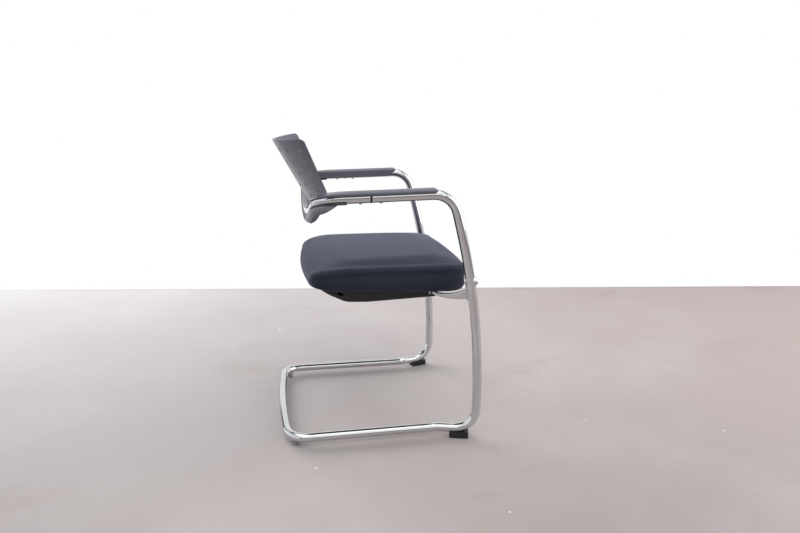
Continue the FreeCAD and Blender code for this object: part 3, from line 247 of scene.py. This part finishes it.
bpy.ops.object.select_all(action="DESELECT")
bpy.ops.mesh.primitive_plane_add(size=1, location=(0, 0, 0))
floor = bpy.context.object
floor.name = "floor"
floor.scale = (FLOOR_DEPTH, FLOOR_LENGTH, 1)
floor.rotation_euler = (0, 0, WALL_TURN)
floor_middle = WALL_AWAY - FLOOR_DEPTH / 2
floor.location = (floor_middle * math.cos(WALL_TURN), floor_middle * math.sin(WALL_TURN), 0)
bpy.ops.object.transform_apply(location=True, rotation=True, scale=True)
floor.data.materials.append(concrete.material)

world = bpy.data.worlds.new("room")
world.use_nodes = True
bpy.context.scene.world = world
room = Nodes(world.node_tree)
heading = room.node("ShaderNodeTexCoord", output="Generated")
wallwards = room.axis(0, heading)
sideways = room.axis(1, heading)
upwards = room.axis(2, heading)

# The chrome mirrors a dim room behind the camera, a dark band beside the chair and the white wall,
# with the bars of its windows at the sides and overhead.
mirrored = room.node("ShaderNodeValToRGB", {"stops": (
    (0.00, (0.33, 0.325, 0.32)), (0.28, (0.37, 0.365, 0.36)), (0.40, (0.28, 0.275, 0.275)),
    (0.445, (0.05, 0.05, 0.06)), (0.485, (0.04, 0.04, 0.05)), (0.515, (0.95, 0.96, 0.98)),
    (0.845, WHITE), (0.86, (0.12, 0.12, 0.13)), (0.875, WHITE))}, {0: wallwards * 0.5 + 0.5})
for share, colour in (
        (sideways.fade(-0.38, -0.42), WINDOW_BAR),
        (sideways.fade(-0.46, -0.50), (0.96, 0.96, 0.97)),
        (sideways.fade(0.44, 0.48), WINDOW_BAR),
        (sideways.fade(0.54, 0.62), (0.93, 0.95, 0.98)),
        (upwards.fade(0.70, 0.74) * 0.8, WINDOW_BAR),
        (upwards.fade(0.79, 0.86), (0.94, 0.95, 0.96))):
    mirrored = room.blend(share, mirrored, colour)

spread = room.blend(wallwards.fade(-0.4, 0.8), DIM_SIDE, SKY_LIGHT)
spread = room.blend(upwards.fade(0.45, 0.95), spread, SKY_LIGHT)
glossy_ray, camera_ray, passing_ray = (
    room.node("ShaderNodeLightPath", output=f"Is {kind} Ray")
    for kind in ("Glossy", "Camera", "Transmission"))
shown = room.blend(glossy_ray, spread, mirrored)
shown = room.blend(camera_ray.larger(passing_ray), shown, WHITE)
room.feed(room.tree.nodes["Background"].inputs["Color"], shown)


def lamp(name, place, aim, size, power):
    light = bpy.data.lights.new(name, "AREA")
    light.shape = "RECTANGLE"
    light.size, light.size_y = size
    light.energy = power
    holder = bpy.data.objects.new(name, light)
    holder.location = place
    holder.rotation_mode = "QUATERNION"
    holder.rotation_quaternion = (Vector(place) - Vector(aim)).to_track_quat("Z", "Y")
    bpy.context.collection.objects.link(holder)
    return holder


lamp("overhead", place=(-1.3, 0.1, 2.7), aim=(0, 0, 0.4), size=(4.0, 5.4), power=60)
wall_window = lamp(
    "wall_window", place=(2.8, 2.1, 1.75), aim=(0, 0, 0.6), size=(3.2, 2.2), power=155)
wall_window.visible_glossy = False
lamp("front_window", place=(-0.8, -2.9, 1.5), aim=(0, 0, 0.5), size=(2.8, 2.0), power=34)

# Bent tubes.
# Two steel tubes, bent cold and then plated: the main frame with the floor loop, and the bow
# behind the back. The plating is almost a mirror, with a faint haze of wiping marks.

PLATING = (0.68, 0.682, 0.695)
HAZY_PLATING = (0.62, 0.622, 0.64)


def dress(material, *names):
    """Gives CAD nodes a material."""
    for name in names:
        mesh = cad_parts[name].data
        mesh.materials.clear()
        mesh.materials.append(material)


chrome = Finish("bright_chrome", Metallic=1.0)
chrome_haze = chrome.noise(9.0, 4.0, 0.6)
chrome_dust = chrome.noise(300.0, 2.0, 0.5)
chrome_wave = chrome.noise(26.0, 1.0, 0.4)
chrome.wear(
    Base_Color=chrome.blend(chrome_haze.fade(0.3, 0.75), PLATING, HAZY_PLATING),
    Roughness=chrome_haze.fade(0.35, 0.8) * 0.05 + 0.035 + chrome_dust.fade(0.6, 0.8) * 0.06,
    Normal=chrome.bump(chrome_dust, 0.00002, 0.25, under=chrome.bump(chrome_wave, 0.0006, 0.18)))
dress(chrome.material, "frame_tube", "back_bow_tube")

# Arm joints.
# A turned steel pin joins the two tubes inside each arm, and a thin black plastic ring fills the
# joint between their ends.

BLUE_ZINC = (0.52, 0.53, 0.54)
YELLOW_ZINC = (0.66, 0.655, 0.63)
BLACK_PLASTIC = (0.014, 0.0145, 0.017)
DUSTY_BLACK = (0.028, 0.028, 0.031)

zinc = Finish("zinc_steel", Metallic=1.0)
zinc_cloud = zinc.noise(60.0, 3.0, 0.6)
zinc_grain = zinc.noise(900.0, 2.0, 0.5)
zinc.wear(
    Base_Color=zinc.blend(zinc_cloud, BLUE_ZINC, YELLOW_ZINC),
    Roughness=zinc_cloud * 0.2 + 0.22 + zinc_grain * 0.1,
    Normal=zinc.bump(zinc_grain, 0.00004, 0.4))
dress(zinc.material, "arm_joint_spigot_left", "arm_joint_spigot_right")

black = Finish("black_moulding")
black_grain = black.noise(1100.0, 2.0, 0.6)
black_dust = black.noise(25.0, 4.0, 0.6)
black_scuff = black.noise(14.0, 5.0, 0.65, black.moved(scale=(1, 1, 5)))
black.wear(
    Base_Color=black.blend(black_dust.fade(0.45, 0.8), BLACK_PLASTIC, DUSTY_BLACK),
    Roughness=black_dust * 0.15 + 0.36 + black_scuff.fade(0.55, 0.75) * 0.15,
    Normal=black.bump(black_grain, 0.00008, 0.5))
dress(black.material, "arm_joint_ring_left", "arm_joint_ring_right")

# Arm pads.
# Grey plastic caps with a fine spark-eroded grain, screwed on from below through tube and pin.
# Their tops are rubbed smoother than their sides.

PAD_SIDES_END = 0.648
PAD_TOP_STARTS = 0.668
PAD_GREY = (0.13, 0.134, 0.168)
RUBBED_PAD_GREY = (0.155, 0.16, 0.195)

pad = Finish("arm_pad_skin")
pad_grain = pad.noise(1300.0, 2.0, 0.6)
pad_rub = pad.noise(18.0, 4.0, 0.6)
pad_top = pad.axis(2).fade(PAD_SIDES_END, PAD_TOP_STARTS)
pad.wear(
    Base_Color=pad.blend(pad_rub.fade(0.3, 0.75), PAD_GREY, RUBBED_PAD_GREY),
    Roughness=0.46 - pad_top * 0.12 + pad_rub * 0.08,
    Normal=pad.bump(pad_grain, 0.00006, 0.5))
dress(pad.material, "arm_pad_left", "arm_pad_right")
dress(zinc.material, "arm_pad_screws_left", "arm_pad_screws_right")

# Plastic back.
# One injection moulding in grey plastic: a wall curved both ways with rows of round holes, wings
# at both sides and a rolled edge that hooks over the bow. Four screws hold it to the bow.

SHELL_GREY = (0.150, 0.155, 0.196)
PALE_SHELL_GREY = (0.168, 0.174, 0.218)

shell = Finish("grey_shell")
shell_grain = shell.noise(1500.0, 2.0, 0.6)
shell_cloud = shell.noise(14.0, 3.0, 0.5)
shell_rub = shell.noise(40.0, 4.0, 0.65)
shell.wear(
    Base_Color=shell.blend(shell_cloud.fade(0.3, 0.7), SHELL_GREY, PALE_SHELL_GREY),
    Roughness=shell_cloud.fade(0.2, 0.8) * 0.06 + 0.30 + shell_rub.fade(0.6, 0.8) * 0.06,
    Normal=shell.bump(shell_grain, 0.00006, 0.5))
dress(shell.material, "back_shell")
dress(zinc.material, "back_shell_screws")

# Lower cover of the back.
# A separate, lighter moulding that closes the underside of the bow, held by three screws. Above a
# line just under the tube its colour is painted near black: painted shade standing in for the
# shadowed gap between cover and tube.

ARM_TUBE_HEIGHT = 0.6687
ARM_TUBE_FALL = 0.03545
BOW_END_HEIGHT = 0.66282
BOW_END_SIDE = 0.2725
BOW_FALL = 0.3463
PAINTED_SHADE_FULL = 0.0135
PAINTED_SHADE_ENDS = 0.0175
COVER_GREY = (0.31, 0.315, 0.37)
PALE_COVER_GREY = (0.35, 0.355, 0.41)
PAINTED_GAP_SHADE = (0.03, 0.03, 0.036)

cover = Finish("light_cover")
cover_grain = cover.noise(1500.0, 2.0, 0.6)
cover_cloud = cover.noise(12.0, 3.0, 0.5)
cover_rub = cover.noise(20.0, 3.0, 0.5)
arm_line = ARM_TUBE_HEIGHT - cover.axis(1) * ARM_TUBE_FALL
bow_line = BOW_END_HEIGHT - (BOW_END_SIDE - cover.axis(0).absolute()) * BOW_FALL
below_tube = arm_line.smaller(bow_line) - cover.axis(2)
cover_hue = cover.blend(cover_cloud.fade(0.3, 0.7), COVER_GREY, PALE_COVER_GREY)
# The dark band right under the tube is painted shade, not a darker plastic.
cover.wear(
    Base_Color=cover.blend(below_tube.fade(PAINTED_SHADE_FULL, PAINTED_SHADE_ENDS), PAINTED_GAP_SHADE, cover_hue),
    Roughness=cover_rub * 0.1 + 0.38,
    Normal=cover.bump(cover_grain, 0.00006, 0.5))
dress(cover.material, "back_lower_cover")
dress(zinc.material, "back_cover_screws")

# Seat carrier.
# Two plated rails and a chromed cross tube run under the seat board, and four bolts with tee nuts
# hold the board down on them. The board is raw plywood.

PLY_LAYERS = 3500.0
DARK_PLY = (0.42, 0.28, 0.16)
PALE_PLY = (0.55, 0.40, 0.25)

dress(zinc.material, "seat_tee_nuts", "seat_rail_left", "seat_rail_right", "seat_bolts")
dress(chrome.material, "seat_cross_tube")

board = Finish("seat_plywood")
board_grain = board.noise(6.0, 5.0, 0.6, board.moved(scale=(30, 1.5, 30)))
board_plies = (board.axis(2) * PLY_LAYERS).sine()
board.wear(
    Base_Color=board.blend(
        board_grain.fade(0.3, 0.7) * 0.8 + board_plies * 0.1, DARK_PLY, PALE_PLY),
    Roughness=board_grain * 0.2 + 0.5,
    Normal=board.bump(board_grain, 0.0002, 0.4))
dress(board.material, "seat_board")

# Cushion.
# Cut foam glued on the board and covered with a dark blue-grey woven cloth, which is pulled tight
# over the edges and stapled under the board.

FOAM_CELL = 0.005
WELD = 0.00005
STAPLE_LINE = 0.032
STAPLE_FADE = 0.015
COVER_SLACK = 0.003
AIR_FRAMES = 20
SWELL_MOST = 0.004
SWELL_PASSES = 70
FOAM_EDGE = 0.008
EDGE_TILT = 0.66
EDGE_SPREAD = 0.36
EDGE_AT_SIDES = 2.2
FRONT_ROLL = 0.004
FRONT_STARTS = -0.12
FRONT_DEPTH = 0.10
THREADS = 4200.0
DEEP_CLOTH = (0.023, 0.026, 0.042)
RAISED_CLOTH = (0.053, 0.058, 0.092)
CLOTH_FUZZ = (0.78, 0.82, 1.0, 1)

cloth = Finish(
    "dark_cloth", Sheen_Weight=0.32, Sheen_Roughness=0.35, Sheen_Tint=CLOTH_FUZZ,
    Specular_IOR_Level=0.25)
warp = ((cloth.axis(0) + cloth.axis(2)) * THREADS).sine()
weft = ((cloth.axis(1) + cloth.axis(2)) * THREADS).sine()
weave = warp * weft
yarn = cloth.noise(420.0, 2.0, 0.6)
cloth_cloud = cloth.noise(16.0, 4.0, 0.6)
cloth.wear(
    Base_Color=cloth.blend(
        weave * 0.22 + yarn * 0.45 + cloth_cloud * 0.35, DEEP_CLOTH, RAISED_CLOTH),
    Roughness=cloth_cloud * 0.1 + 0.8,
    Normal=cloth.bump(weave, 0.00025, 0.35, under=cloth.bump(cloth_cloud, 0.0012, 0.35)))

bpy.ops.object.select_all(action="DESELECT")
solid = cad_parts["seat_cushion"]
cushion = bpy.data.objects.new("padded_seat", solid.data.copy())
bpy.context.collection.objects.link(cushion)
bpy.context.view_layer.objects.active = cushion
cushion.select_set(True)
mesh = bmesh.new()
mesh.from_mesh(cushion.data)
bmesh.ops.remove_doubles(mesh, verts=mesh.verts, dist=WELD)
mesh.to_mesh(cushion.data)
mesh.free()
remesh = cushion.modifiers.new("even", "REMESH")
remesh.mode = "VOXEL"
remesh.voxel_size = FOAM_CELL
bpy.ops.object.modifier_apply(modifier="even")
ease = cushion.modifiers.new("ease", "SMOOTH")
ease.factor = 0.5
ease.iterations = 4
bpy.ops.object.modifier_apply(modifier="ease")


def clipped(value):
    """The value, kept between 0 and 1."""
    return max(0, min(1, value))


# The cover starts a little inside the foam's shape, held below the staple line.
low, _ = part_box("seat_cushion")
stapled = low[2] + STAPLE_LINE
held = cushion.vertex_groups.new(name="stapled")
taut = [(point.co.copy(), point.normal.copy()) for point in cushion.data.vertices]
held.add([number for number, (place, _) in enumerate(taut) if place.z < stapled], 1.0, "REPLACE")
for point, (place, outward) in zip(cushion.data.vertices, taut):
    point.co = place - outward * COVER_SLACK * clipped((place.z - stapled) / STAPLE_FADE)

# The foam presses it out. How far each point comes out is kept, evened over its neighbours.
air = cushion.modifiers.new("air", "CLOTH")
air.settings.quality = 5
air.settings.mass = 0.3
air.settings.tension_stiffness = 12
air.settings.compression_stiffness = 12
air.settings.bending_stiffness = 1.5
air.settings.use_pressure = True
air.settings.uniform_pressure_force = 4
air.settings.vertex_group_mass = "stapled"
air.settings.effector_weights.gravity = 0
air.point_cache.frame_start = 1
air.point_cache.frame_end = AIR_FRAMES
for step in range(1, AIR_FRAMES + 1):
    bpy.context.scene.frame_set(step)
bpy.ops.object.modifier_apply(modifier="air")
bpy.context.scene.frame_set(1)
swell = [min(max((point.co - place).dot(outward), 0), SWELL_MOST)
         for point, (place, outward) in zip(cushion.data.vertices, taut)]
beside = [[] for _ in taut]
for edge in cushion.data.edges:
    first, second = edge.vertices
    beside[first].append(second)
    beside[second].append(first)
for _ in range(SWELL_PASSES):
    swell = [(swell[number] + sum(swell[other] for other in near)) / (1 + len(near))
             for number, near in enumerate(beside)]

# The foam's upper side edges stand fuller, and its front rolls forward.
for point, (place, outward), rise in zip(cushion.data.vertices, taut, swell):
    fullness = (clipped(1 - ((outward.z - EDGE_TILT) / EDGE_SPREAD) ** 2)
                * clipped(EDGE_AT_SIDES * abs(outward.x)))
    front = clipped((FRONT_STARTS - place.y) / FRONT_DEPTH)
    point.co = (place + outward * (rise + FOAM_EDGE * fullness)
                - Vector((0, FRONT_ROLL * front * front * (3 - 2 * front), 0)))

finer = cushion.modifiers.new("finer", "SUBSURF")
finer.levels = finer.render_levels = 1
bpy.ops.object.modifier_apply(modifier="finer")
cushion.vertex_groups.clear()
cushion.data.materials.clear()
cushion.data.materials.append(cloth.material)
bpy.ops.object.shade_smooth()
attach(cushion, "root")
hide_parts("seat_cushion")

# Cover under the seat.
# A moulded dish of black plastic with a slot in each side for a bracket. It hides the rails and
# is held by four screws.

dress(black.material, "seat_lower_cover")
dress(zinc.material, "seat_cover_screws")

# Brackets.
# Chromed arms that leave the cross tube, come out through the slots of the dish and end in a
# saddle against the front leg. A domed bolt through the leg and a saddle washer hold each.

dress(chrome.material, "seat_bracket_left", "seat_bracket_right", "leg_bolt_left",
      "leg_bolt_right", "leg_washer_left", "leg_washer_right")

# Feet.
# Black plastic blocks clipped under the front bends, and small grey plastic studs under the rear
# corners of the loop.

STUD_GREY = (0.44, 0.44, 0.45)
PALE_STUD_GREY = (0.54, 0.54, 0.545)

dress(black.material, "front_glide_left", "front_glide_right")

stud = Finish("grey_stud")
stud_cloud = stud.noise(160.0, 3.0, 0.6)
stud.wear(
    Base_Color=stud.blend(stud_cloud, STUD_GREY, PALE_STUD_GREY),
    Roughness=stud_cloud * 0.2 + 0.3,
    Normal=stud.bump(stud_cloud, 0.0001, 0.3))
dress(stud.material, "rear_glide_left", "rear_glide_right")
